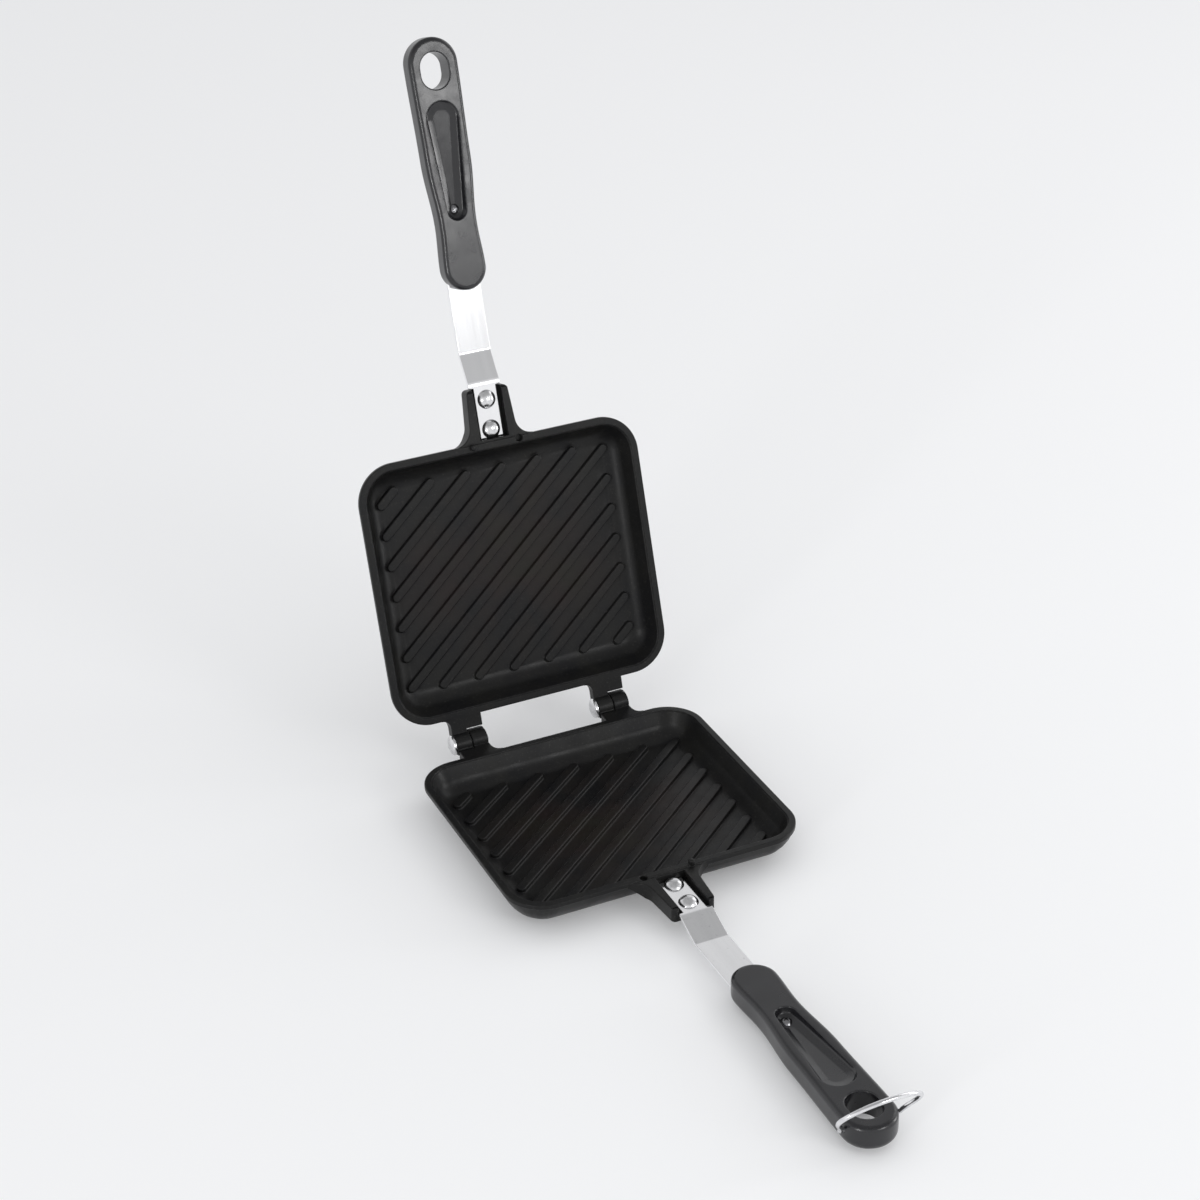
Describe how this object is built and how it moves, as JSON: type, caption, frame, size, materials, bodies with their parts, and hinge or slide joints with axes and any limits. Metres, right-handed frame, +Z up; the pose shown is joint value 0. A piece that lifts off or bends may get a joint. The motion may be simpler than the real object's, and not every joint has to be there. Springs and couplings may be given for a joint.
{
  "type": "pie iron",
  "caption": "Hinged sandwich iron: ribbed coated pans on pinned hinges, riveted straps, black handles and a wire loop that locks them.",
  "frame": {"origin": "centre of the lower pan's flat base", "axes": "+Z up, -Y along the lower handle away from the pan, +X along the hinge axis"},
  "size_m": [0.145, 0.449, 0.333],
  "materials": {
    "coated_casting": "satin dark non-stick coating on cast aluminium",
    "strap_steel": "polished strip steel",
    "bright_steel": "bright plated steel",
    "loop_wire": "bright plated spring wire",
    "handle_plastic": "glossy black moulded heat-proof plastic"
  },
  "bodies": {
    "root": {"lower_pan": "coated_casting", "left_hinge_pin": "bright_steel", "right_hinge_pin": "bright_steel", "lower_strap": "strap_steel", "lower_front_rivet": "bright_steel", "lower_rear_rivet": "bright_steel", "lower_handle": "handle_plastic", "lower_handle_screw": "bright_steel"},
    "upper_half": {"upper_pan": "coated_casting", "upper_strap": "strap_steel", "upper_front_rivet": "bright_steel", "upper_rear_rivet": "bright_steel", "upper_handle": "handle_plastic", "upper_handle_screw": "bright_steel"},
    "wire_loop": {"lock_loop": "loop_wire"}
  },
  "joints": [
    {"name": "main_hinge", "type": "hinge", "parent": "root", "child": "upper_half", "pos_m": [0, 0.077, 0.017], "axis": [1, 0, 0], "range_deg": [0, 107.5]},
    {"name": "loop_pivot", "type": "hinge", "parent": "root", "child": "wire_loop", "pos_m": [0, -0.2445, 0.0093], "axis": [-1, 0, 0], "range_deg": [-75, 33]}
  ]
}
